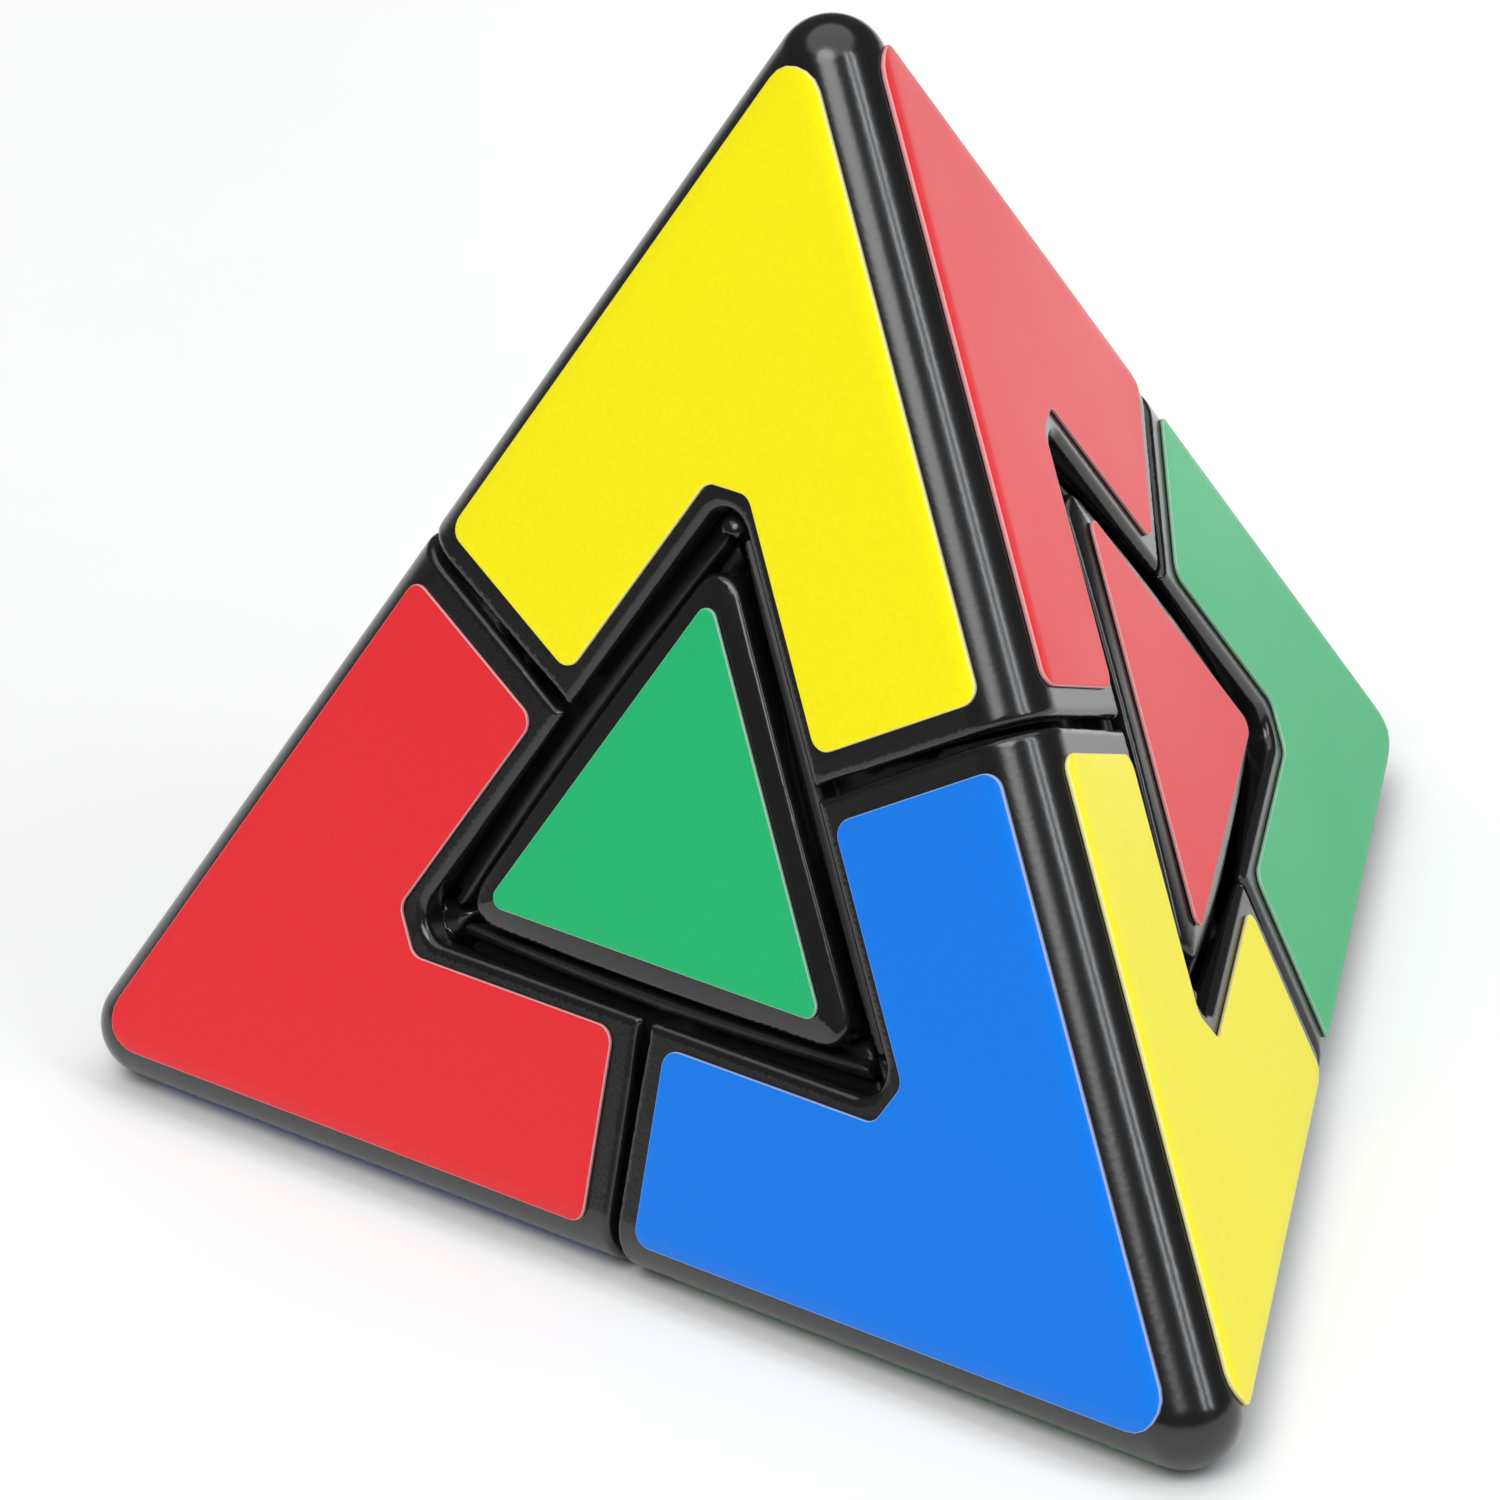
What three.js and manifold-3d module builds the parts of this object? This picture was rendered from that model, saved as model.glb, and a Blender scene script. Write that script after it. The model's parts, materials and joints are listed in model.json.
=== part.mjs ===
// A pyramid twisty puzzle: four corners and four face centres on a hidden four-post core.
// Millimetres, +Z up. The origin is the middle of the face that it rests on, at the stickers' outer side.
import * as THREE from 'three';
import { ConvexGeometry } from 'three/addons/geometries/ConvexGeometry.js';
import { mergeVertices } from 'three/addons/utils/BufferGeometryUtils.js';
import Module from 'manifold-3d';

const wasm = await Module();
wasm.setup();

// ---- driving dimensions ----
const EDGE = 106; // edge of the sharp tetrahedron that the rounded body fills
const EDGE_RADIUS = 3.7; // rounding of the body's edges and vertices
const GAP = 0.6; // running gap between pieces that turn past each other
const JOINT_GAP = 0.3; // gap between pieces that are screwed, pressed or stuck together
const STICKER_THICKNESS = 0.25;
const STICKER_LIFT = 0.05;

const RECESS_INRADIUS = 12; // triangular recess in the middle of each face
const RECESS_TIP_RADIUS = 2.6;
const RECESS_DEPTH = 2.2;
const CAP_INRADIUS = 9.6; // triangular face centre that stands in the recess
const CAP_TIP_RADIUS = 2.2;
const CAP_SPLIT = 17.3; // distance of the cap's parting plane from the puzzle's centre
const NUB_RADIUS = 1.2; // ball in each tip of the recess
const NUB_DISTANCE = 19.9;
const NUB_DEPTH = 1.3;

const CORE_RADIUS = 11;
const CORE_CLEARANCE = 0.4;
const POST_RADIUS = 2.5;
const POST_END = 19;
const SCREW_HOLE_RADIUS = 1.4;
const SCREW_HOLE_START = 7;
const RAIL_INSET = 1.8; // how far the hidden rails lie under the body's surface
const RAIL_END = 27;

const STICKER_EDGE_INSET = 3.9;
const STICKER_SEAM_INSET = 2.2;
const STICKER_RECESS_INSET = 1.5;
const STICKER_APEX_RADIUS = 4.2;
const STICKER_CORNER_RADIUS = 1.6;
const CENTRE_STICKER_INRADIUS = 8;

const AROUND = 18; // sides of every turning surface, a multiple of 6 so that the pieces repeat at each click
const SMALL_AROUND = 10; // sides of the small turned pieces

// ---- derived sizes ----
const FACE_DISTANCE = EDGE / (2 * Math.sqrt(6));
const VERTEX_DISTANCE = 3 * FACE_DISTANCE;
const FACE_INRADIUS = EDGE / (2 * Math.sqrt(3));
const CENTRE_HEIGHT = FACE_DISTANCE + STICKER_LIFT + STICKER_THICKNESS;

// ---- directions of the four corners from the puzzle's centre; each face is named by the corner it faces away from ----
const SLOPE = Math.acos(-1 / 3);
function direction(azimuth) {
  const a = THREE.MathUtils.degToRad(azimuth);
  return new THREE.Vector3(Math.sin(SLOPE) * Math.cos(a), Math.sin(SLOPE) * Math.sin(a), Math.cos(SLOPE));
}
const CORNERS = {
  top: new THREE.Vector3(0, 0, 1),
  front: direction(-90),
  left: direction(150),
  right: direction(30),
};
const CORNER_NAMES = Object.keys(CORNERS);
const FACE_OPPOSITE = { base_face: 'top', back_face: 'front', right_face: 'left', left_face: 'right' };

// ---- materials ----
const BLACK = { color: 0x1b1b1c, roughness: 0.42, metalness: 0 };
const DARK_PLASTIC = { color: 0x232325, roughness: 0.5, metalness: 0 };
const STEEL = { color: 0xa9adb2, roughness: 0.32, metalness: 1 };
const STICKER_COLORS = { yellow: 0xffe600, red: 0xe02b33, blue: 0x0a6fd8, green: 0x1ea86a };

// ---- solids ----
function solid(geometry) {
  geometry.deleteAttribute('normal');
  geometry.deleteAttribute('uv');
  const merged = mergeVertices(geometry, 1e-4);
  const index = Array.from(merged.index.array);
  const kept = [];
  for (let i = 0; i < index.length; i += 3) {
    const [a, b, c] = index.slice(i, i + 3);
    if (a !== b && b !== c && c !== a) kept.push(a, b, c);
  }
  const mesh = new wasm.Mesh({
    numProp: 3,
    vertProperties: new Float32Array(merged.attributes.position.array),
    triVerts: new Uint32Array(kept),
  });
  return new wasm.Manifold(mesh);
}

function geometryOf(manifold) {
  const mesh = manifold.getMesh();
  const geometry = new THREE.BufferGeometry();
  geometry.setAttribute('position', new THREE.BufferAttribute(new Float32Array(mesh.vertProperties), 3));
  geometry.setIndex(new THREE.BufferAttribute(new Uint32Array(mesh.triVerts), 1));
  return geometry;
}

// A turned solid about +Z from [radius, height] points that run anticlockwise.
function turned(points, sides = AROUND) {
  const outline = points.map(([r, h]) => new THREE.Vector2(r, h));
  return new THREE.LatheGeometry(outline, sides).rotateX(Math.PI / 2);
}

function ring(outer, inner, low, high, sides = SMALL_AROUND) {
  return turned([[outer, low], [outer, high], [inner, high], [inner, low], [outer, low]], sides);
}

function cylinder(radius, low, high, sides = SMALL_AROUND) {
  return turned([[0, low], [radius, low], [radius, high], [0, high]], sides);
}

// ---- the rounded tetrahedron ----
const ROUND_STEPS = 3;
function roundedBody(inset) {
  const radius = EDGE_RADIUS - Math.min(inset, EDGE_RADIUS - 0.01);
  const reach = VERTEX_DISTANCE - 3 * Math.max(EDGE_RADIUS, inset + 0.01);
  const points = [];
  for (const corner of CORNER_NAMES) {
    const normals = CORNER_NAMES.filter((n) => n !== corner).map((n) => CORNERS[n].clone().negate());
    for (let i = 0; i <= ROUND_STEPS; i++) {
      for (let j = 0; j <= ROUND_STEPS - i; j++) {
        const aim = new THREE.Vector3();
        aim.addScaledVector(normals[0], i).addScaledVector(normals[1], j);
        aim.addScaledVector(normals[2], ROUND_STEPS - i - j).setLength(radius);
        points.push(aim.addScaledVector(CORNERS[corner], reach));
      }
    }
  }
  return solid(new ConvexGeometry(points));
}

// ---- the turning surface of a corner's layer ----
// A point on the seam between two corners, at a distance from the face's middle and a depth under the face.
function seamPoint(distance, depth = 0) {
  const along = distance / 2;
  const across = distance * Math.sin(Math.PI / 3);
  const level = FACE_DISTANCE - depth;
  const rise = Math.sin(SLOPE);
  return [Math.hypot(level * rise - along / 3, across), level / 3 + along * rise];
}

// Hook, ridge and rim of a layer's underside: they hold the rails and face centres in while a corner turns.
const HOOK = { start: 13.7, flank: 0.3, end: 17, depth: 1.8 };
const RIDGE = { end: 21.3, depth: 0.1 };
const RIM = { start: 22.5, end: 28.6, depth: 2.1 };
const WAIST_DEPTH = 2; // depth under the face at which a layer is narrowest
const SEAM_MIDDLE = 18; // distances from the face's middle at which the seam's curve is stepped
const SEAM_BEYOND = 35;
const FAR = 80; // past every piece

function layerProfile() {
  const seam = [RECESS_INRADIUS, SEAM_MIDDLE, FACE_INRADIUS, SEAM_BEYOND].map((m) => seamPoint(m));
  return [
    [0, 0],
    [HOOK.start, 0],
    [HOOK.start + HOOK.flank, -HOOK.depth],
    [HOOK.end, -HOOK.depth],
    [HOOK.end + HOOK.flank, -RIDGE.depth],
    [RIDGE.end, -RIDGE.depth],
    [RIM.start, -RIM.depth],
    [RIM.end, -RIM.depth],
    seamPoint(RECESS_INRADIUS, WAIST_DEPTH),
    ...seam,
    [seam.at(-1)[0] + 2, FAR],
    [0, FAR],
  ];
}

// Moves an open outline sideways, to its right where distance is positive; its ends stay on the axis.
function offset(points, distance) {
  return points.map((point, i) => {
    const here = new THREE.Vector2(...point);
    const side = (from, to) => {
      const along = new THREE.Vector2(...to).sub(new THREE.Vector2(...from)).normalize();
      return new THREE.Vector2(along.y, -along.x);
    };
    const before = i > 0 ? side(points[i - 1], point) : null;
    const after = i < points.length - 1 ? side(point, points[i + 1]) : null;
    const middle = (before ?? after).clone().add(after ?? before).normalize();
    here.addScaledVector(middle, distance / middle.dot(after ?? before));
    return [i === 0 || i === points.length - 1 ? 0 : here.x, here.y];
  });
}

const toCorner = (corner) => {
  const turn = new THREE.Quaternion();
  if (corner !== 'top') {
    // a half turn about the axis through the middle of the edge that joins the two corners
    const middle = CORNERS.top.clone().add(CORNERS[corner]).normalize();
    turn.setFromAxisAngle(middle, Math.PI);
  }
  return turn;
};

function placedLayer(distance, corner) {
  const geometry = turned(offset(layerProfile(), distance));
  return solid(geometry.applyQuaternion(toCorner(corner)));
}
const inside = {};
const outside = {};
for (const corner of CORNER_NAMES) {
  inside[corner] = placedLayer(-GAP / 2, corner);
  outside[corner] = placedLayer(GAP / 2, corner);
}

// ---- flat outlines with rounded corners ----
function roundedOutline(points, radii) {
  const shape = new THREE.Shape();
  points.forEach((point, i) => {
    const before = points.at(i - 1).clone().sub(point).normalize();
    const after = points[(i + 1) % points.length].clone().sub(point).normalize();
    const half = before.angleTo(after) / 2;
    const middle = before.clone().add(after).normalize();
    const centre = point.clone().addScaledVector(middle, radii[i] / Math.sin(half));
    const start = point.clone().addScaledVector(before, radii[i] / Math.tan(half)).sub(centre);
    const end = point.clone().addScaledVector(after, radii[i] / Math.tan(half)).sub(centre);
    shape.absarc(centre.x, centre.y, radii[i], start.angle(), end.angle(), start.cross(end) < 0);
  });
  return shape;
}

function triangleOutline(inradius, tipRadius) {
  const tips = [0, 1, 2].map((i) => {
    const a = (i * 2 * Math.PI) / 3;
    return new THREE.Vector2(2 * inradius * Math.cos(a), 2 * inradius * Math.sin(a));
  });
  return roundedOutline(tips, [tipRadius, tipRadius, tipRadius]);
}

function plate(shape, low, high, curveSegments = 3) {
  const geometry = new THREE.ExtrudeGeometry(shape, { depth: high - low, bevelEnabled: false, curveSegments });
  return geometry.translate(0, 0, low);
}

// Turns from a face's own frame to the base face: +X of the outline points at the front corner, +Z points out.
const faceDown = new THREE.Quaternion().setFromRotationMatrix(
  new THREE.Matrix4().makeBasis(
    new THREE.Vector3(0, -1, 0),
    new THREE.Vector3(-1, 0, 0),
    new THREE.Vector3(0, 0, -1),
  ),
);

const body = roundedBody(0);
const coreSpace = solid(new THREE.SphereGeometry(CORE_RADIUS + CORE_CLEARANCE, AROUND, AROUND / 2));
const parts = new THREE.Group();
parts.position.z = CENTRE_HEIGHT;

function add(name, geometry, material, turn = new THREE.Quaternion()) {
  const mesh = new THREE.Mesh(geometry, new THREE.MeshStandardMaterial(material));
  mesh.name = name;
  mesh.quaternion.copy(turn);
  parts.add(mesh);
}

// ---- core: a ball with a post towards each corner ----
function core() {
  const posts = CORNER_NAMES.map((corner) => {
    return solid(cylinder(POST_RADIUS, 0, POST_END).applyQuaternion(toCorner(corner)));
  });
  const holes = CORNER_NAMES.map((corner) => {
    const hole = cylinder(SCREW_HOLE_RADIUS, SCREW_HOLE_START, POST_END + 1);
    return solid(hole.applyQuaternion(toCorner(corner)));
  });
  let ball = solid(new THREE.SphereGeometry(CORE_RADIUS, 16, 8));
  for (const post of posts) ball = ball.add(post);
  for (const hole of holes) ball = ball.subtract(hole);
  return geometryOf(ball);
}
add('core', core(), DARK_PLASTIC);

// ---- what each post holds, along +Z from the puzzle's centre ----
const INSERT = { foot: 19.4, floor: 21.8, neck: 28, top: 38, footRadius: 3.9, neckRadius: 7.3, radius: 8 };
const POCKET_RADIUS = 3.6;
const SHANK = { start: 8, radius: 1.1, taper: 1.5 };
const SHANK_CLEARANCE = 0.4;
const SPRING = { radius: 2.55, wire: 0.35, low: INSERT.floor + 0.3, high: 29.1, coils: 5, steps: 40 };
const WASHER = { low: SPRING.high + JOINT_GAP, high: 30, radius: 3.2, hole: 1.4 };
const HEAD = { low: WASHER.high + JOINT_GAP, high: 32.3, radius: 2.8, crown: 0.8 };
const SLOT = { length: 3.4, width: 0.7, depth: 1.1 };

function insert() {
  const wall = SHANK.radius + SHANK_CLEARANCE;
  return turned([
    [INSERT.footRadius, INSERT.foot],
    [INSERT.neckRadius, INSERT.neck],
    [INSERT.radius, INSERT.neck],
    [INSERT.radius, INSERT.top],
    [POCKET_RADIUS, INSERT.top],
    [POCKET_RADIUS, INSERT.floor],
    [wall, INSERT.floor],
    [wall, INSERT.foot],
    [INSERT.footRadius, INSERT.foot],
  ], SMALL_AROUND);
}

function screw() {
  const turnedBody = solid(turned([
    [0, SHANK.start],
    [SHANK.radius, SHANK.start + SHANK.taper],
    [SHANK.radius, HEAD.low],
    [HEAD.radius, HEAD.low],
    [HEAD.radius, HEAD.high - HEAD.crown],
    [HEAD.radius - HEAD.crown, HEAD.high],
    [0, HEAD.high],
  ], SMALL_AROUND));
  const slots = [0, Math.PI / 2].map((angle) => {
    const slot = new THREE.BoxGeometry(SLOT.length, SLOT.width, 2 * SLOT.depth);
    return solid(slot.rotateZ(angle).translate(0, 0, HEAD.high));
  });
  return geometryOf(turnedBody.subtract(slots[0]).subtract(slots[1]));
}

class Helix extends THREE.Curve {
  getPoint(t, target = new THREE.Vector3()) {
    const angle = t * SPRING.coils * 2 * Math.PI;
    const height = THREE.MathUtils.lerp(SPRING.low + SPRING.wire, SPRING.high - SPRING.wire, t);
    return target.set(SPRING.radius * Math.cos(angle), SPRING.radius * Math.sin(angle), height);
  }
}

function spring() {
  const section = new THREE.Shape().absarc(0, 0, SPRING.wire, 0, 2 * Math.PI);
  const options = { steps: SPRING.steps, extrudePath: new Helix(), curveSegments: 3, bevelEnabled: false };
  return new THREE.ExtrudeGeometry(section, options);
}

// ---- corner shell, built about +Z as the top corner ----
const BORE = { mouthRadius: 9, mouthEnd: 27, hollowStart: 6, hollowEnd: 52, hollowRadius: 1.5 };
function cornerShell() {
  const bore = solid(turned([
    [0, 0],
    [BORE.mouthRadius, 0],
    [BORE.mouthRadius, BORE.mouthEnd],
    [INSERT.radius + JOINT_GAP, BORE.mouthEnd],
    [INSERT.radius + JOINT_GAP, INSERT.top + JOINT_GAP],
    [BORE.hollowStart, INSERT.top + JOINT_GAP],
    [BORE.hollowRadius, BORE.hollowEnd],
    [0, BORE.hollowEnd],
  ], SMALL_AROUND + 2));
  let shell = body.intersect(inside.top);
  for (const other of ['front', 'left', 'right']) shell = shell.subtract(outside[other]);
  shell = shell.subtract(bore);
  const recess = plate(
    triangleOutline(RECESS_INRADIUS, RECESS_TIP_RADIUS),
    FACE_DISTANCE - RECESS_DEPTH,
    FACE_DISTANCE + 1,
  );
  const nub = new THREE.SphereGeometry(NUB_RADIUS, 6, 4);
  nub.translate(NUB_DISTANCE, 0, FACE_DISTANCE - NUB_DEPTH - NUB_RADIUS);
  for (const face of ['front', 'left', 'right']) {
    // from the face's own frame to the base face, with the outline's +X at the corner that becomes the top
    const turn = toCorner(face).multiply(aimAt(face)).multiply(faceDown);
    shell = shell.subtract(solid(recess.clone().applyQuaternion(turn)));
    shell = shell.add(solid(nub.clone().applyQuaternion(turn)));
  }
  return geometryOf(largest(shell));
}

// A turn about the resting face's axis that brings the outline's +X from the front corner to another one.
function aimAt(corner) {
  const angles = { front: 0, right: 120, left: 240 };
  return new THREE.Quaternion().setFromAxisAngle(CORNERS.top, THREE.MathUtils.degToRad(angles[corner]));
}

function largest(manifold) {
  const pieces = manifold.decompose();
  pieces.sort((a, b) => b.volume() - a.volume());
  return pieces[0];
}

// ---- hidden rail, built between the top and front corners ----
function rail() {
  let piece = roundedBody(RAIL_INSET).intersect(inside.top).intersect(inside.front);
  piece = piece.subtract(outside.left).subtract(outside.right).subtract(coreSpace);
  const middle = CORNERS.top.clone().add(CORNERS.front).normalize();
  const turn = new THREE.Quaternion().setFromUnitVectors(CORNERS.top, middle);
  const keep = new THREE.BoxGeometry(FAR, FAR, RAIL_END).translate(0, 0, RAIL_END / 2);
  return geometryOf(largest(piece.intersect(solid(keep.applyQuaternion(turn)))));
}

// ---- face centre, built on the base face: a foot inside and a cap outside ----
const PIN = { radius: 1.7, socket: 2, start: 14, end: 19.6 };
function centreBlank() {
  const outline = triangleOutline(CAP_INRADIUS, CAP_TIP_RADIUS);
  let piece = body.intersect(solid(plate(outline, 0, FAR).applyQuaternion(faceDown)));
  for (const corner of ['front', 'left', 'right']) piece = piece.intersect(inside[corner]);
  return piece.subtract(outside.top).subtract(coreSpace);
}

function slab(low, high) {
  const block = new THREE.BoxGeometry(FAR, FAR, high - low).translate(0, 0, (low + high) / 2);
  return solid(block.applyQuaternion(faceDown));
}

function centreFoot(blank) {
  const pin = solid(cylinder(PIN.radius, PIN.start, PIN.end).applyQuaternion(faceDown));
  return geometryOf(largest(blank.intersect(slab(0, CAP_SPLIT)).add(pin)));
}

function centreCap(blank) {
  const socket = solid(cylinder(PIN.socket, 0, PIN.end + JOINT_GAP).applyQuaternion(faceDown));
  return geometryOf(largest(blank.intersect(slab(CAP_SPLIT + JOINT_GAP, FAR)).subtract(socket)));
}

// ---- stickers, drawn in a face's own frame with +X towards the sticker's corner ----
const STICKER_LEVEL = FACE_DISTANCE + STICKER_LIFT;
function sticker(shape) {
  return plate(shape, STICKER_LEVEL, STICKER_LEVEL + STICKER_THICKNESS, 2).applyQuaternion(faceDown);
}

function cornerSticker() {
  const seam = new THREE.Vector2(Math.cos(Math.PI / 3), Math.sin(Math.PI / 3));
  const inwards = new THREE.Vector2(seam.y, -seam.x);
  const beside = (distance) => seam.clone().multiplyScalar(distance).addScaledVector(inwards, STICKER_SEAM_INSET);
  const mirrored = (p) => new THREE.Vector2(p.x, -p.y);
  const outer = beside(FACE_INRADIUS - STICKER_EDGE_INSET);
  const inner = beside(RECESS_INRADIUS + STICKER_RECESS_INSET);
  const apex = new THREE.Vector2(2 * (FACE_INRADIUS - STICKER_EDGE_INSET), 0);
  const notchTip = RECESS_INRADIUS * 2 - RECESS_TIP_RADIUS + STICKER_RECESS_INSET;
  const notch = new THREE.Vector2(2 * (RECESS_INRADIUS + STICKER_RECESS_INSET), 0);
  const notchSide = notch.clone().lerp(inner, (notch.x - notchTip) / (notch.x - inner.x));
  const outline = [mirrored(outer), apex, outer, inner, notchSide, mirrored(notchSide), mirrored(inner)];
  const small = STICKER_CORNER_RADIUS;
  return roundedOutline(outline, [small, STICKER_APEX_RADIUS, small, small, small, small, small]);
}

// A centre sticker passes the corners beside it as its cap does, so it keeps inside the same turning surfaces.
function centreSticker() {
  let piece = solid(sticker(triangleOutline(CENTRE_STICKER_INRADIUS, STICKER_CORNER_RADIUS)));
  for (const corner of ['front', 'left', 'right']) piece = piece.intersect(inside[corner]);
  return geometryOf(piece);
}

// ---- the four corners ----
const shellGeometry = cornerShell();
const insertGeometry = insert();
const springGeometry = spring();
const washerGeometry = ring(WASHER.radius, WASHER.hole, WASHER.low, WASHER.high, SMALL_AROUND);
const screwGeometry = screw();
for (const corner of CORNER_NAMES) {
  add(`corner_shell_${corner}`, shellGeometry, BLACK, toCorner(corner));
  add(`corner_insert_${corner}`, insertGeometry, DARK_PLASTIC, toCorner(corner));
  add(`spring_${corner}`, springGeometry, STEEL, toCorner(corner));
  add(`washer_${corner}`, washerGeometry, STEEL, toCorner(corner));
  add(`screw_${corner}`, screwGeometry, STEEL, toCorner(corner));
}

// ---- the six rails, one between each two corners ----
const railGeometry = rail();
const thirdTurn = (corner, thirds) => {
  return new THREE.Quaternion().setFromAxisAngle(CORNERS[corner], (thirds * 2 * Math.PI) / 3);
};
const RAIL_TURNS = {
  top_front: new THREE.Quaternion(),
  top_right: thirdTurn('top', 1),
  top_left: thirdTurn('top', 2),
  front_left: thirdTurn('front', 1),
  front_right: thirdTurn('front', 2),
  left_right: toCorner('left'),
};
for (const [pair, turn] of Object.entries(RAIL_TURNS)) add(`rail_${pair}`, railGeometry, DARK_PLASTIC, turn);

// ---- the four face centres ----
const blank = centreBlank();
const footGeometry = centreFoot(blank);
const capGeometry = centreCap(blank);
const centreStickerGeometry = centreSticker();
const CENTRE_COLORS = { base_face: 'blue', back_face: 'yellow', right_face: 'red', left_face: 'green' };
for (const [face, opposite] of Object.entries(FACE_OPPOSITE)) {
  const turn = toCorner(opposite);
  add(`centre_foot_${face}`, footGeometry, DARK_PLASTIC, turn);
  add(`centre_cap_${face}`, capGeometry, BLACK, turn);
  add(`sticker_${face}_centre`, centreStickerGeometry, stickerMaterial(CENTRE_COLORS[face]), turn);
}

// ---- the twelve corner stickers ----
function stickerMaterial(color) {
  return { color: STICKER_COLORS[color], roughness: 0.45, metalness: 0 };
}
const CORNER_COLORS = {
  left_face: { top: 'yellow', left: 'red', front: 'blue' },
  right_face: { top: 'red', front: 'yellow', right: 'green' },
  back_face: { top: 'blue', left: 'green', right: 'yellow' },
  base_face: { front: 'green', left: 'blue', right: 'red' },
};
const cornerStickerGeometry = sticker(cornerSticker());
for (const [face, colors] of Object.entries(CORNER_COLORS)) {
  for (const [corner, color] of Object.entries(colors)) {
    // the turn that carries the base face's front sticker to this face and this corner
    const goal = [CORNERS[FACE_OPPOSITE[face]], CORNERS[corner]];
    const turn = turnBetween([CORNERS.top, CORNERS.front], goal);
    add(`sticker_${face}_${corner}`, cornerStickerGeometry, stickerMaterial(color), turn);
  }
}

// The turn that carries one pair of directions onto another pair at the same angle.
function turnBetween(from, to) {
  const basis = ([a, b]) => {
    const across = new THREE.Vector3().crossVectors(a, b).normalize();
    return new THREE.Matrix4().makeBasis(a, across, new THREE.Vector3().crossVectors(a, across));
  };
  const turn = basis(to).multiply(basis(from).transpose());
  return new THREE.Quaternion().setFromRotationMatrix(turn);
}

const puzzle = new THREE.Group();
puzzle.add(parts);
export default puzzle;
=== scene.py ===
"""Looks of the pyramid twisty puzzle: fine moulded plastic pieces, vinyl stickers, studio and camera."""

import json
import math

import bmesh
import bpy
import numpy as np
from mathutils import Matrix, Vector


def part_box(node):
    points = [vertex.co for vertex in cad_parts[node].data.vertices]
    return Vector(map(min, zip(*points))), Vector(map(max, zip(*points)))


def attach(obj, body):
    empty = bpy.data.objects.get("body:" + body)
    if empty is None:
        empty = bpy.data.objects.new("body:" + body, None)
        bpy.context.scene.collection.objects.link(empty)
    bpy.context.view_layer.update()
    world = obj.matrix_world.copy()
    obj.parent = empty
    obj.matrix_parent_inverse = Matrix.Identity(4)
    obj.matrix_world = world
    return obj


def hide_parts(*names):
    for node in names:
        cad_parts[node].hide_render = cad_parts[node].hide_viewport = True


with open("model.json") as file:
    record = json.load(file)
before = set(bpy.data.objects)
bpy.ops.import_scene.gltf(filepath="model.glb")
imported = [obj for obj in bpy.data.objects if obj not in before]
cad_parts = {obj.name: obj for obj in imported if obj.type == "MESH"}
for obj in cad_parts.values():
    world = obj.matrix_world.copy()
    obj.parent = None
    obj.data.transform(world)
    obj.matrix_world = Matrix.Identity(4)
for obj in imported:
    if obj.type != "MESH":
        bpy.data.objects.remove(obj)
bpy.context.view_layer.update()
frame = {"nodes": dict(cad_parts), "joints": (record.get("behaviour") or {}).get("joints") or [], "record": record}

# ---- sizes in millimetres, about the puzzle's centre, as in the CAD model ----
MM = 0.001
SIN60 = math.sqrt(3) / 2
TWISTS = {j["name"].removeprefix("twist_"): j for j in frame["joints"] if j["name"].startswith("twist_")}
AXES = {corner: np.array(j["axis"], float) for corner, j in TWISTS.items()}
CENTRE = np.array(TWISTS["top"]["pos_m"], float)
FACE_OPPOSITE = {"base_face": "top", "back_face": "front", "right_face": "left", "left_face": "right"}

STICKER_THICKNESS = 0.25
STICKER_LIFT = 0.05
FACE_DISTANCE = CENTRE[2] / MM - STICKER_THICKNESS - STICKER_LIFT
FACE_INRADIUS = FACE_DISTANCE * math.sqrt(2)
EDGE_RADIUS = 3.7
HALF_GAP = 0.17
RAIL_GAP = 0.3
LIP_RADIUS = 0.65
INNER_RADIUS = 0.4

RECESS_INRADIUS = 12.0
RECESS_TIP_RADIUS = 1.9
RECESS_DEPTH = 2.1
WALL_DEPTH = 0.9
CAP_INRADIUS = 10.0
CAP_TIP_RADIUS = 2.2
CAP_LIP_RADIUS = 0.8
CAP_FLOOR = 17.6
SOCKET_RADIUS = 2.0
SOCKET_END = 19.9
NUB_RADIUS = 1.05
NUB_DISTANCE = 20.7
NUB_DEPTH = 0.4
CORE_SPACE = 11.4
RAIL_INSET = 3.1
RAIL_END = 27.0
BEAD_RADIUS = 0.6
BEAD_INRADIUS = 11.0
BEAD_DEPTH = 1.7
BEAD_REACH = 17.8
BORE_RADIUS = 8.3
BORE_TOP = 38.3
MOUTH_RADIUS = 9.0
MOUTH_TOP = 27.0

# Lower side of a corner's turning layer, as radii and heights about its axis: groove, ridge, outer floor.
LAYER_FLOOR = [(13.7, 0), (14, -1.8), (17, -1.8), (17.3, -0.1), (20.3, -0.1), (21.3, -2.65), (28.9, -2.65)]
LAYER_TOP = 80
SEAM_REACH = 35
SEAM_STEPS = 7

STICKER_EDGE_INSET = 3.9
STICKER_SEAM_INSET = 2.2
STICKER_RECESS_INSET = 1.25
STICKER_NOTCH_TIP = 23.5
STICKER_APEX_RADIUS = 2.3
STICKER_CORNER_RADIUS = 1.2
CENTRE_STICKER_INRADIUS = 8.2
CENTRE_STICKER_TIP_RADIUS = 0.8
LEAST_RADIUS = 0.25

GRID_STEP = 0.3
GRID_MARGIN = 1.2
SURFACE_PASSES = 4
FLAT_DEGREES = 0.6

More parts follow.
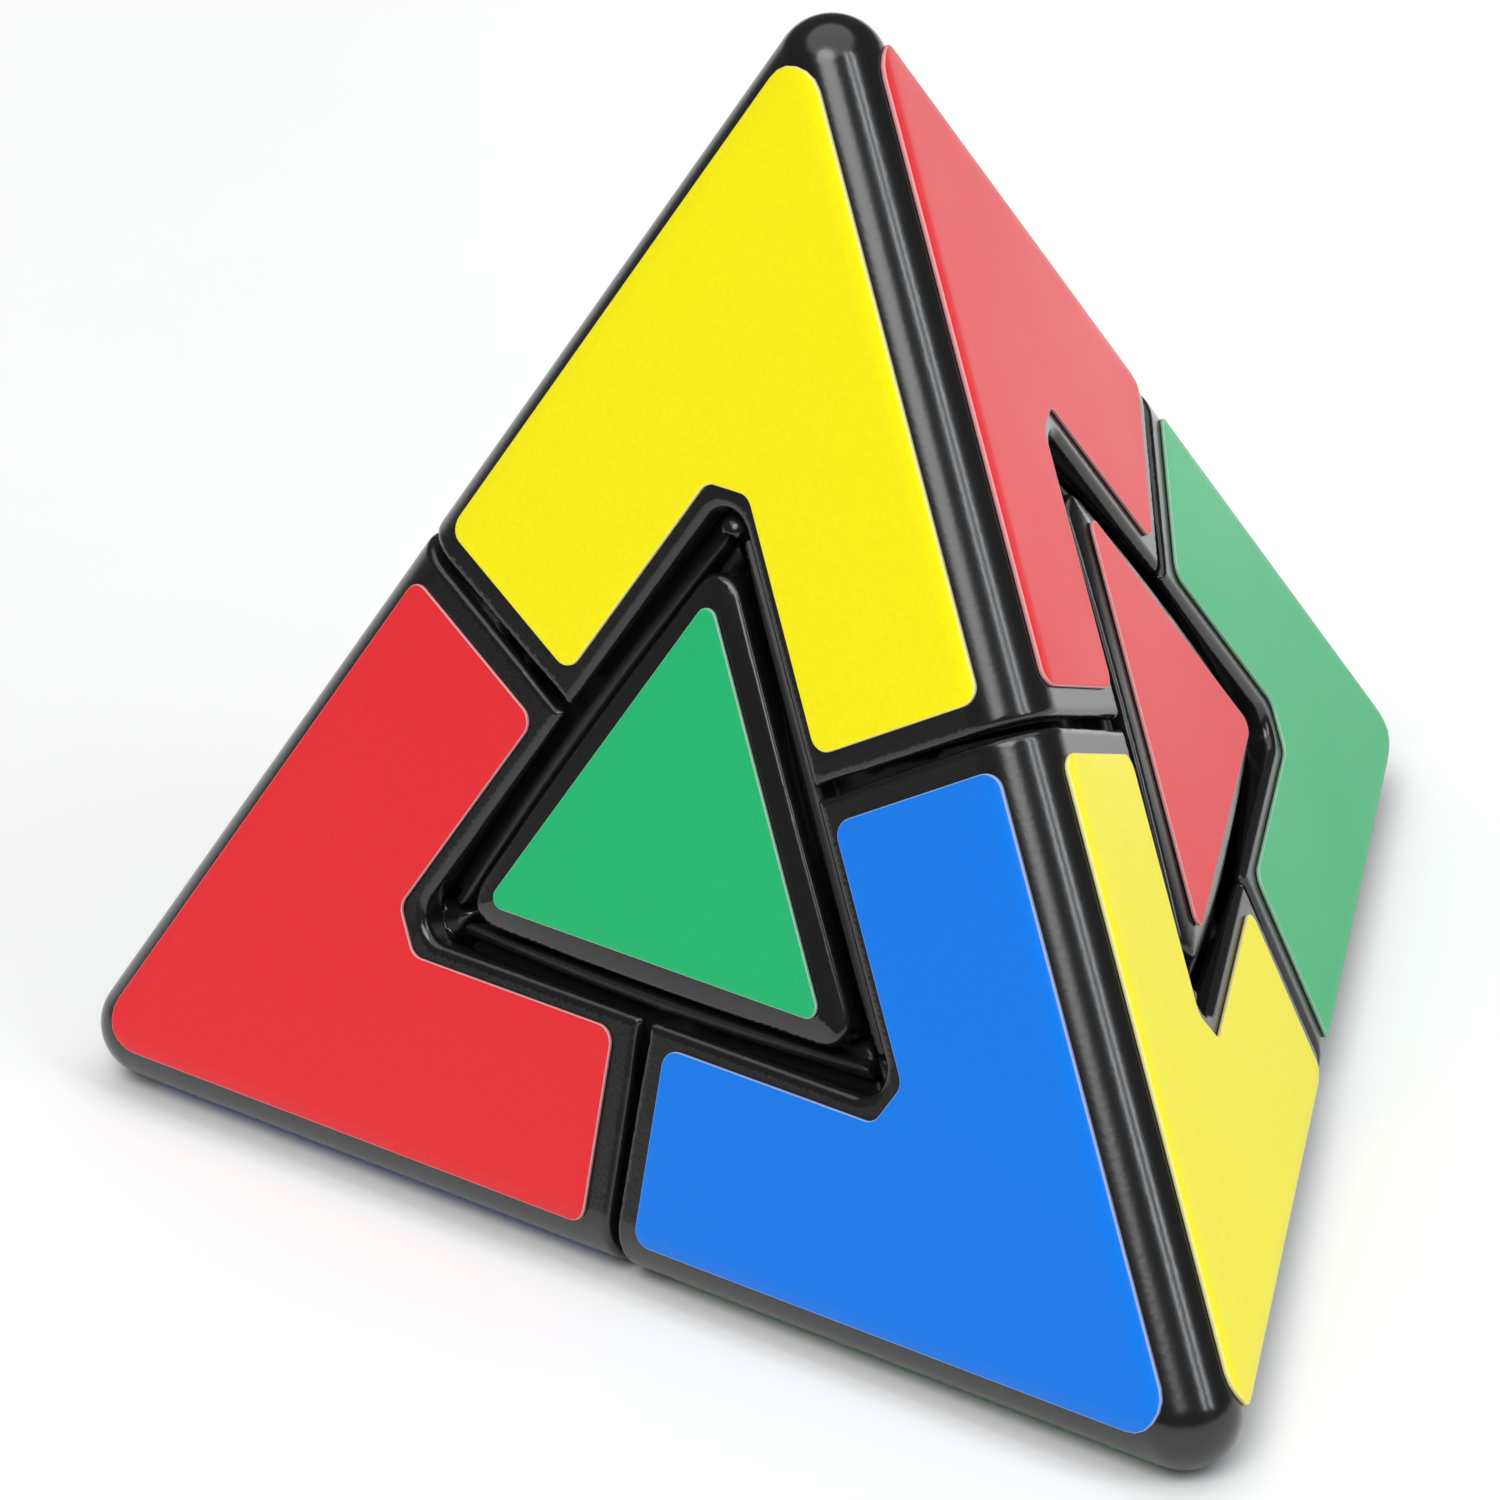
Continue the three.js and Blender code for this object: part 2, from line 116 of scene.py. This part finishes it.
# ---- distance fields: negative inside, positive outside, for rows of points ----
def round_meet(a, b, radius):
    """Where both solids are, with the edge between them rounded."""
    corner = np.hypot(np.maximum(a + radius, 0), np.maximum(b + radius, 0))
    return np.minimum(np.maximum(a, b), -radius) + corner


def polygon_distance(x, y, points):
    """Signed distance to a closed outline."""
    best = np.full(x.shape, np.inf)
    inside = np.zeros(x.shape, bool)
    for (ax, ay), (bx, by) in zip(points, points[1:] + points[:1]):
        dx, dy = bx - ax, by - ay
        along = np.clip(((x - ax) * dx + (y - ay) * dy) / (dx * dx + dy * dy), 0, 1)
        best = np.minimum(best, (x - ax - along * dx) ** 2 + (y - ay - along * dy) ** 2)
        if ay != by:
            crosses = ((y < ay) != (y < by)) & (x < ax + (y - ay) * dx / dy)
            inside ^= crosses
    return np.where(inside, -1, 1) * np.sqrt(best)


def seam_point(distance, depth=0.0):
    """A point of the seam between two corners, as radius and height about a corner's axis."""
    along = distance / 2
    across = distance * SIN60
    rise = math.sqrt(8) / 3
    level = FACE_DISTANCE - depth
    return math.hypot(level * rise - along / 3, across), level / 3 + along * rise


def layer_outline():
    """Half section of a corner's turning layer, and its mirror image so that the axis is no edge."""
    seam = [seam_point(distance) for distance in np.linspace(RECESS_INRADIUS, SEAM_REACH, SEAM_STEPS)]
    half = [*LAYER_FLOOR, seam_point(RECESS_INRADIUS, WALL_DEPTH), *seam, (seam[-1][0] + 2, LAYER_TOP)]
    return half + [(-r, h) for r, h in reversed(half)]


LAYER_OUTLINE = layer_outline()


def layer(p, corner):
    """Distance to a corner's turning layer."""
    height = p @ AXES[corner]
    radius = np.sqrt(np.maximum((p * p).sum(1) - height**2, 0))
    return polygon_distance(radius, height, LAYER_OUTLINE)


def triangle_distance(p, a, b, c):
    """Distance to a flat triangle."""
    def edge(u, v):
        along = np.clip(((p - u) @ (v - u)) / ((v - u) @ (v - u)), 0, 1)
        gap = p - u - along[:, None] * (v - u)
        return (gap * gap).sum(1)

    normal = np.cross(b - a, c - a)
    sides = [np.cross(v - u, normal) for u, v in ((a, b), (b, c), (c, a))]
    over = np.all([(p - u) @ side < 0 for u, side in zip((a, b, c), sides)], axis=0)
    flat = ((p - a) @ normal) ** 2 / (normal @ normal)
    around = np.minimum(np.minimum(edge(a, b), edge(b, c)), edge(c, a))
    return np.sqrt(np.where(over, flat, around))


def body(p, inset=0.0):
    """The rounded tetrahedron."""
    tips = [AXES[c] * (3 * (FACE_DISTANCE - EDGE_RADIUS)) for c in AXES]
    planes = np.max([p @ -AXES[c] for c in AXES], axis=0) - (FACE_DISTANCE - EDGE_RADIUS)
    faces = [[t for t in tips if t is not skipped] for skipped in tips]
    away = np.min([triangle_distance(p, *corners) for corners in faces], axis=0)
    return np.where(planes < 0, planes, away) - EDGE_RADIUS + inset


def face_frame(face, corner):
    """A face's outward normal, the direction from its middle towards a corner, and the one across."""
    normal = -AXES[FACE_OPPOSITE[face]]
    towards = AXES[corner] - (AXES[corner] @ normal) * normal
    towards /= np.linalg.norm(towards)
    return normal, towards, np.cross(normal, towards)


def triangle_outline(x, y, inradius, tip_radius):
    """Signed distance to a triangle with rounded tips that point along +x and at 120 degrees to it."""
    inner = inradius - tip_radius
    tips = [(2 * inner * math.cos(a), 2 * inner * math.sin(a)) for a in np.radians([0, 120, 240])]
    return polygon_distance(x, y, tips) - tip_radius


def bead(level, side):
    """A half-round bead along a recess's side, from heights and distances from the face's middle."""
    above = np.maximum(level - FACE_DISTANCE + BEAD_DEPTH, 0)
    return np.hypot(above, side - BEAD_INRADIUS) - BEAD_RADIUS


def shell(p):
    """The top corner's shell."""
    cut = layer(p, "top") + HALF_GAP
    for other in ("front", "left", "right"):
        cut = round_meet(cut, HALF_GAP - layer(p, other), INNER_RADIUS)
    height = p @ AXES["top"]
    radius = np.hypot(p[:, 0], p[:, 1])
    walls, nubs = np.full(len(p), -np.inf), np.full(len(p), np.inf)
    for face in ("back_face", "right_face", "left_face"):
        normal, towards, across = face_frame(face, "top")
        x, y, level = p @ towards, p @ across, p @ normal
        outline = triangle_outline(x, y, RECESS_INRADIUS, RECESS_TIP_RADIUS)
        pocket = np.maximum(outline, FACE_DISTANCE - RECESS_DEPTH - level)
        walls = np.maximum(walls, -pocket)
        middle = FACE_DISTANCE - NUB_DEPTH - NUB_RADIUS
        above = np.maximum(level - middle, 0)
        nubs = np.minimum(nubs, np.sqrt((x - NUB_DISTANCE) ** 2 + y**2 + above**2) - NUB_RADIUS)
        for side in (x / 2 + y * SIN60, x / 2 - y * SIN60):
            nubs = np.minimum(nubs, np.maximum(bead(level, side), x - BEAD_REACH))
        nubs = np.maximum(nubs, FACE_DISTANCE - 2 * RECESS_DEPTH - level)
    piece = round_meet(body(p), round_meet(cut, walls, INNER_RADIUS), LIP_RADIUS)
    piece = np.minimum(piece, round_meet(nubs, cut, INNER_RADIUS))
    bore = np.minimum(np.maximum(radius - BORE_RADIUS, height - BORE_TOP),
                      np.maximum(radius - MOUTH_RADIUS, height - MOUTH_TOP))
    return np.maximum(piece, -bore)


def cap(p):
    """The base face's centre cap."""
    normal, towards, across = face_frame("base_face", "front")
    level = p @ normal
    sides = triangle_outline(p @ towards, p @ across, CAP_INRADIUS, CAP_TIP_RADIUS)
    for corner in ("front", "left", "right"):
        sides = round_meet(sides, layer(p, corner) + HALF_GAP, INNER_RADIUS)
    piece = round_meet(level - FACE_DISTANCE, sides, CAP_LIP_RADIUS)
    piece = np.maximum(piece, CAP_FLOOR - level)
    from_axis = np.sqrt(np.maximum((p * p).sum(1) - level**2, 0))
    return np.maximum(piece, -np.maximum(from_axis - SOCKET_RADIUS, level - SOCKET_END))


def rail(p):
    """The rail between the top and front corners, with a half-round bead along two recesses' sides."""
    piece = body(p, RAIL_INSET)
    middle = AXES["top"] + AXES["front"]
    middle /= np.linalg.norm(middle)
    for face in ("right_face", "left_face"):
        normal = -AXES[FACE_OPPOSITE[face]]
        side = middle - (middle @ normal) * normal
        side /= np.linalg.norm(side)
        piece = np.minimum(piece, bead(p @ normal, p @ side))
    for corner, sign in (("top", 1), ("front", 1), ("left", -1), ("right", -1)):
        piece = round_meet(piece, sign * layer(p, corner) + RAIL_GAP, INNER_RADIUS)
    piece = np.maximum(piece, CORE_SPACE - np.sqrt((p * p).sum(1)))
    return np.maximum(piece, p @ middle - RAIL_END)


# ---- meshes from distance fields ----
def slope(field, p, reach=0.02):
    """A field's gradient, from differences over a short reach."""
    return np.stack([field(p + step) - field(p - step) for step in np.eye(3) * reach], 1) / (2 * reach)


def net(field, low, high, step):
    """A surface net: one point in each grid cell that the surface crosses, a quad per crossed edge."""
    counts = np.ceil((high - low) / step).astype(int) + 1
    lines = [low[i] + step * np.arange(counts[i]) for i in range(3)]
    values = np.empty(counts)
    for i, x in enumerate(lines[0]):
        y, z = np.meshgrid(lines[1], lines[2], indexing="ij")
        values[i] = field(np.stack([np.full(y.size, x), y.ravel(), z.ravel()], 1)).reshape(y.shape)
    inside = values < 0
    cells = counts - 1
    total, number = np.zeros((*cells, 3)), np.zeros(cells)
    quads = []
    for axis in range(3):
        a, b = (axis + 1) % 3, (axis + 2) % 3
        here = [slice(None)] * 3
        there = [slice(None)] * 3
        here[axis], there[axis] = slice(0, -1), slice(1, None)
        here, there = tuple(here), tuple(there)
        starts = np.argwhere(inside[here] != inside[there])
        first, second = values[here][tuple(starts.T)], values[there][tuple(starts.T)]
        points = starts.astype(float)
        points[:, axis] += first / (first - second)
        around = []
        for da, db in ((0, 0), (-1, 0), (-1, -1), (0, -1)):
            cell = starts.copy()
            cell[:, a] += da
            cell[:, b] += db
            np.add.at(total, tuple(cell.T), points)
            np.add.at(number, tuple(cell.T), 1)
            around.append(np.ravel_multi_index(tuple(cell.T), tuple(cells)))
        ring = np.stack(around, 1)
        ring[first > 0] = ring[first > 0][:, ::-1]
        quads.append(ring)
    used = np.flatnonzero(number.ravel())
    points = low + step * total.reshape(-1, 3)[used] / number.ravel()[used, None]
    lookup = np.zeros(number.size, int)
    lookup[used] = np.arange(len(used))
    for _ in range(SURFACE_PASSES):
        grown = slope(field, points)
        rate = np.maximum((grown * grown).sum(1), 0.2)
        move = (field(points) / rate)[:, None] * grown
        points -= np.clip(move, -0.4 * step, 0.4 * step)
    return points, lookup[np.concatenate(quads)]


def thinned(points, quads):
    """Joins the quads of flat stretches, then cuts everything into triangles."""
    mesh = bpy.data.meshes.new("template")
    mesh.from_pydata(points.tolist(), [], quads.tolist())
    work = bmesh.new()
    work.from_mesh(mesh)
    flat = math.radians(FLAT_DEGREES)
    bmesh.ops.dissolve_limit(work, angle_limit=flat, verts=work.verts, edges=work.edges)
    bmesh.ops.triangulate(work, faces=work.faces)
    work.to_mesh(mesh)
    work.free()
    kept = np.array([v.co for v in mesh.vertices])
    faces = np.array([f.vertices for f in mesh.polygons])
    bpy.data.meshes.remove(mesh)
    return kept, faces


def moulded(field, like):
    """Points, faces and normals of a field's surface, over the box of the CAD node that it stands for."""
    low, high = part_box(like)
    low = (np.array(low) - CENTRE) / MM - GRID_MARGIN
    high = (np.array(high) - CENTRE) / MM + GRID_MARGIN
    points, faces = thinned(*net(field, low, high, GRID_STEP))
    normals = slope(field, points)
    normals /= np.linalg.norm(normals, axis=1)[:, None]
    return points, faces, normals


# ---- placing copies ----
def basis(a, b):
    """Three square directions built on two others."""
    across = np.cross(a, b)
    across /= np.linalg.norm(across)
    return np.stack([a, across, np.cross(a, across)], 1)


def turn_between(a, b, to_a, to_b):
    """The rotation that carries directions a and b onto to_a and to_b."""
    return basis(to_a, to_b) @ basis(a, b).T


def place(name, shape, turn, materials, body_name, node, face_materials=None):
    points, faces, normals = shape
    mesh = bpy.data.meshes.new(name)
    mesh.from_pydata((points @ turn.T * MM + CENTRE).tolist(), [], [list(f) for f in faces])
    for material in materials:
        mesh.materials.append(material)
    if face_materials is not None:
        mesh.polygons.foreach_set("material_index", face_materials)
    for polygon in mesh.polygons:
        polygon.use_smooth = True
    if normals is not None:
        mesh.normals_split_custom_set_from_vertices((normals @ turn.T).tolist())
    piece = bpy.data.objects.new(name, mesh)
    bpy.context.scene.collection.objects.link(piece)
    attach(piece, body_name)
    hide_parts(node)
    return piece


# ---- materials ----
def new_material(name):
    material = bpy.data.materials.new(name)
    material.use_nodes = True
    return material, material.node_tree.nodes, material.node_tree.links


def textured(name, color, roughness, spread, grain, grain_height,
             metallic=0.0, variation=0.1, specular=0.5):
    """A surface with fine grain in its height, and slow changes in roughness and colour."""
    material, nodes, links = new_material(name)
    shader = nodes["Principled BSDF"]
    shader.inputs["Metallic"].default_value = metallic
    shader.inputs["Specular IOR Level"].default_value = specular
    place_at = nodes.new("ShaderNodeTexCoord")
    slow = nodes.new("ShaderNodeTexNoise")
    slow.inputs["Scale"].default_value = 90
    slow.inputs["Detail"].default_value = 4
    fine = nodes.new("ShaderNodeTexNoise")
    fine.inputs["Scale"].default_value = grain
    fine.inputs["Detail"].default_value = 3
    for texture in (slow, fine):
        links.new(place_at.outputs["Object"], texture.inputs["Vector"])
    gloss = nodes.new("ShaderNodeMapRange")
    gloss.inputs["To Min"].default_value = roughness - spread
    gloss.inputs["To Max"].default_value = roughness + spread
    links.new(slow.outputs["Fac"], gloss.inputs["Value"])
    links.new(gloss.outputs["Result"], shader.inputs["Roughness"])
    tint = nodes.new("ShaderNodeMix")
    tint.data_type = "RGBA"
    tint.inputs["A"].default_value = (*[c * (1 - variation) for c in color], 1)
    tint.inputs["B"].default_value = (*[min(1, c * (1 + variation)) for c in color], 1)
    links.new(fine.outputs["Fac"], tint.inputs["Factor"])
    links.new(tint.outputs["Result"], shader.inputs["Base Color"])
    bump = nodes.new("ShaderNodeBump")
    bump.inputs["Strength"].default_value = 0.35
    bump.inputs["Distance"].default_value = grain_height
    links.new(fine.outputs["Fac"], bump.inputs["Height"])
    links.new(bump.outputs["Normal"], shader.inputs["Normal"])
    return material


STICKER_COLORS = {
    "yellow": (1.0, 0.86, 0.0),
    "red": (0.80, 0.022, 0.030),
    "blue": (0.0, 0.19, 0.80),
    "green": (0.012, 0.47, 0.16),
}
BLACK = textured("satin_black_plastic", (0.0085, 0.008, 0.008), 0.2, 0.03, 2600, 0.00002, specular=0.65)
INNER = textured("inner_black_plastic", (0.011, 0.011, 0.012), 0.42, 0.05, 1800, 0.00003)
STEEL = textured("plain_steel", (0.55, 0.56, 0.58), 0.3, 0.08, 3000, 0.00001, metallic=1.0)
VINYL = {c: textured(f"{c}_vinyl", rgb, 0.42, 0.05, 3200, 0.00002, variation=0.07, specular=0.33)
         for c, rgb in STICKER_COLORS.items()}
# Paler copies of the sticker colours for the sticker edges: a painted highlight along each sticker's edge, not a
# colour of the vinyl.
PAINTED_HIGHLIGHT_RIMS = {c: textured(f"{c}_vinyl_rim_painted_highlight", [0.5 * v + 0.3 for v in rgb], 0.5, 0.05, 3200, 0.00001)
        for c, rgb in STICKER_COLORS.items()}

# ---- moulded pieces ----
def half_turn(corner):
    """The rotation that carries the top corner onto another."""
    if corner == "top":
        return np.eye(3)
    middle = AXES["top"] + AXES[corner]
    middle = middle / np.linalg.norm(middle)
    return 2 * np.outer(middle, middle) - np.eye(3)


shell_shape = moulded(shell, "corner_shell_top")
for corner in AXES:
    piece = place(f"shell_{corner}", shell_shape, half_turn(corner), [BLACK], f"corner_{corner}",
                  f"corner_shell_{corner}")

cap_shape = moulded(cap, "centre_cap_base_face")
for face, opposite in FACE_OPPOSITE.items():
    piece = place(f"cap_{face}", cap_shape, half_turn(opposite), [BLACK], f"centre_{face}",
                  f"centre_cap_{face}")

rail_shape = moulded(rail, "rail_top_front")
RAILS = [n.removeprefix("rail_") for n in frame["nodes"] if n.startswith("rail_")]
for pair in RAILS:
    first, second = pair.split("_")
    turn = turn_between(AXES["top"], AXES["front"], AXES[first], AXES[second])
    piece = place(f"beaded_rail_{pair}", rail_shape, turn, [INNER], f"rail_{pair}", f"rail_{pair}")

# ---- stickers ----
def rounded(points, radii, steps=7):
    """A closed outline's points, with each corner replaced by an arc."""
    outline = []
    for i, point in enumerate(points):
        before = points[i - 1] - point
        after = points[(i + 1) % len(points)] - point
        before, after = before / np.linalg.norm(before), after / np.linalg.norm(after)
        half = math.acos(np.clip(before @ after, -1, 1)) / 2
        middle = (before + after) / np.linalg.norm(before + after)
        centre = point + middle * radii[i] / math.sin(half)
        start = point + before * radii[i] / math.tan(half) - centre
        end = point + after * radii[i] / math.tan(half) - centre
        sweep = math.atan2(start[0] * end[1] - start[1] * end[0], start @ end)
        first = math.atan2(start[1], start[0])
        angles = first + sweep * np.linspace(0, 1, steps)
        outline += [centre + radii[i] * np.array([math.cos(a), math.sin(a)]) for a in angles]
    return np.array(outline)


def corner_sticker_outline(inset):
    """A corner sticker, with its apex along +x, drawn in by an inset."""
    seam = np.array([0.5, math.sqrt(3) / 2])
    inwards = np.array([seam[1], -seam[0]])
    flip = np.array([1, -1])

    def beside(distance):
        return seam * distance + inwards * (STICKER_SEAM_INSET + inset)

    outer_side = FACE_INRADIUS - STICKER_EDGE_INSET - inset
    inner_side = RECESS_INRADIUS + STICKER_RECESS_INSET + inset
    outer, inner = beside(outer_side), beside(inner_side)
    apex, notch = np.array([2 * outer_side, 0]), np.array([2 * inner_side, 0])
    notch_tip = STICKER_NOTCH_TIP + inset
    notch_side = notch + (inner - notch) * (notch[0] - notch_tip) / (notch[0] - inner[0])
    points = [outer * flip, apex, outer, inner, notch_side, notch_side * flip, inner * flip]
    small = max(STICKER_CORNER_RADIUS - inset, LEAST_RADIUS)
    notch_radius = STICKER_CORNER_RADIUS + inset / 2
    radii = [small, STICKER_APEX_RADIUS - inset, small, small, notch_radius, notch_radius, small]
    return rounded(points, radii)


def centre_sticker_outline(inset):
    inradius = CENTRE_STICKER_INRADIUS - inset
    tips = [2 * inradius * np.array([math.cos(a), math.sin(a)]) for a in np.radians([0, 120, 240])]
    return rounded(tips, [max(CENTRE_STICKER_TIP_RADIUS - inset, LEAST_RADIUS)] * 3)


# Rings of a sticker from its lower edge inwards: distance in from the outline, and share of the thickness.
SPREAD = [(0, 0), (0, 0.8), (0.02, 0.95), (0.06, 1), (0.3, 1), (0.8, 1), (1.15, 1)]


def sticker_shape(outline_at):
    """Rings of points from the sticker's lower edge over its edge rounding, each laid on the body's surface; the
    faces over the edge take the paler colour of a painted highlight.
    """
    normal, towards, across = face_frame("base_face", "front")
    rings = [outline_at(inset) for inset, _ in SPREAD]
    count = len(rings[0])
    rows = []
    for ring, (_, share) in zip(rings, SPREAD):
        p = ring[:, :1] * towards + ring[:, 1:] * across + FACE_DISTANCE * normal
        for _ in range(6):
            p = p - (body(p) - STICKER_LIFT - share * STICKER_THICKNESS)[:, None] * normal
        rows.append(p)
    points = np.concatenate(rows)
    faces, highlight_rim = [], []
    for r in range(len(rows) - 1):
        for i in range(count):
            j = (i + 1) % count
            faces.append([r * count + i, r * count + j, (r + 1) * count + j, (r + 1) * count + i])
            # 1 marks faces that take the paler painted highlight colour: the first three bands, over the sticker's
            # edge, and the underside.
            highlight_rim.append(1 if r < 3 else 0)
    faces.append(list(range(count - 1, -1, -1)))
    highlight_rim.append(1)
    last = (len(rows) - 1) * count
    faces.append(list(range(last, last + count)))
    highlight_rim.append(0)
    return (points, faces, None), highlight_rim


corner_shape, corner_highlight_rim = sticker_shape(corner_sticker_outline)
centre_shape, centre_highlight_rim = sticker_shape(centre_sticker_outline)
SLOTS = {s["node"]: s["material_slot"] for s in frame["record"]["subparts"]}
for node in frame["nodes"]:
    if not node.startswith("sticker_"):
        continue
    side, _, place_name = node.removeprefix("sticker_").rpartition("_")
    color = SLOTS[node].removeprefix("sticker_")
    opposite = FACE_OPPOSITE[side]
    if place_name == "centre":
        turn, shape, highlight_rim = half_turn(opposite), centre_shape, centre_highlight_rim
    else:
        turn = turn_between(AXES["top"], AXES["front"], AXES[opposite], AXES[place_name])
        shape, highlight_rim = corner_shape, corner_highlight_rim
    riding = f"centre_{side}" if place_name == "centre" else f"corner_{place_name}"
    # The second material is the paler edge colour, a painted highlight along the sticker's edge.
    materials = [VINYL[color], PAINTED_HIGHLIGHT_RIMS[color]]
    piece = place(node.replace("sticker", "vinyl"), shape, turn, materials, riding, node, highlight_rim)

# ---- CAD nodes that stay ----
for name, node in frame["nodes"].items():
    kept = STEEL if SLOTS[name] == "steel" else INNER
    node.data.materials.clear()
    node.data.materials.append(kept)

# ---- studio ----
FLOOR_HALF = 4.0
PANE_DISTANCE = 0.9
PANE_WIDTH = 0.04
PANE_HEIGHT = 0.5


def floor():
    mesh = bpy.data.meshes.new("floor")
    corners = [(x * FLOOR_HALF, y * FLOOR_HALF, 0) for x, y in ((-1, -1), (1, -1), (1, 1), (-1, 1))]
    mesh.from_pydata(corners, [], [(0, 1, 2, 3)])
    pale = (0.92, 0.92, 0.92)
    mesh.materials.append(textured("pale_floor", pale, 0.6, 0.03, 40, 0.00002, variation=0.01))
    plane = bpy.data.objects.new("floor", mesh)
    bpy.context.scene.collection.objects.link(plane)


def sun(name, towards, spread, strength):
    """A far, wide light that reaches the whole floor evenly, from a direction."""
    light = bpy.data.lights.new(name, "SUN")
    light.angle = math.radians(spread)
    light.energy = strength
    lamp = bpy.data.objects.new(name, light)
    lamp.rotation_euler = Vector(towards).to_track_quat("Z", "Y").to_euler()
    bpy.context.scene.collection.objects.link(lamp)


def window_pane(name, towards):
    """A tall, narrow, slightly cool light that draws a line along the rounded edges."""
    light = bpy.data.lights.new(name, "AREA")
    light.shape = "RECTANGLE"
    light.size = PANE_WIDTH
    light.size_y = PANE_HEIGHT
    light.energy = 1.15
    light.color = (0.9, 0.96, 1.0)
    lamp = bpy.data.objects.new(name, light)
    lamp.location = Vector(CENTRE) + PANE_DISTANCE * Vector(towards)
    lamp.rotation_euler = Vector(towards).to_track_quat("Z", "Y").to_euler()
    bpy.context.scene.collection.objects.link(lamp)


def floor_glow():
    """Brightens the floor beside the right face, which mirrors it."""
    light = bpy.data.lights.new("floor_glow", "SPOT")
    light.energy = 9
    light.spot_size = math.radians(40)
    light.spot_blend = 1
    light.shadow_soft_size = 0.05
    lamp = bpy.data.objects.new("floor_glow", light)
    lamp.location = (0.26, 0.19, 0.4)
    lamp.rotation_euler = Vector((0.06, 0.05, 0.4)).to_track_quat("Z", "Y").to_euler()
    bpy.context.scene.collection.objects.link(lamp)


def studio():
    world = bpy.data.worlds.new("studio")
    bpy.context.scene.world = world
    world.use_nodes = True
    sky = world.node_tree.nodes["Background"]
    sky.inputs["Color"].default_value = (1, 1, 1, 1)
    sky.inputs["Strength"].default_value = 0.1
    sun("key", (-0.45, -0.6, 0.9), 35, 1.4)
    sun("overhead", (0, 0, 1), 80, 1.75)
    window_pane("left_pane", (0.33, -0.71, 0.61))
    window_pane("right_pane", (0.52, -0.63, 0.57))
    floor_glow()
    bpy.context.scene.view_settings.view_transform = "Standard"


EDGE = FACE_DISTANCE * 2 * math.sqrt(6) * MM
CAMERA_AZIMUTH = math.radians(-18.87)
CAMERA_ELEVATION = math.radians(28.19)
CAMERA_ROLL = math.radians(3.77)
CAMERA_TARGET = Vector((-0.084, -0.011, 0.277)) * EDGE
CAMERA_DISTANCE = 5.65 * EDGE
CAMERA_LENS = 219.1


def camera():
    lens = bpy.data.cameras.new("camera")
    lens.sensor_width = 36
    lens.lens = CAMERA_LENS
    flat = math.cos(CAMERA_ELEVATION)
    back = Vector((math.sin(CAMERA_AZIMUTH) * flat, -math.cos(CAMERA_AZIMUTH) * flat,
                   math.sin(CAMERA_ELEVATION)))
    right = Vector((math.cos(CAMERA_AZIMUTH), math.sin(CAMERA_AZIMUTH), 0))
    upright = Matrix((right, back.cross(right), back)).transposed()
    eye = bpy.data.objects.new("camera", lens)
    turn = upright @ Matrix.Rotation(-CAMERA_ROLL, 3, "Z")
    eye.matrix_world = Matrix.Translation(CAMERA_TARGET + back * CAMERA_DISTANCE) @ turn.to_4x4()
    bpy.context.scene.collection.objects.link(eye)
    bpy.context.scene.camera = eye


floor()
studio()
camera()
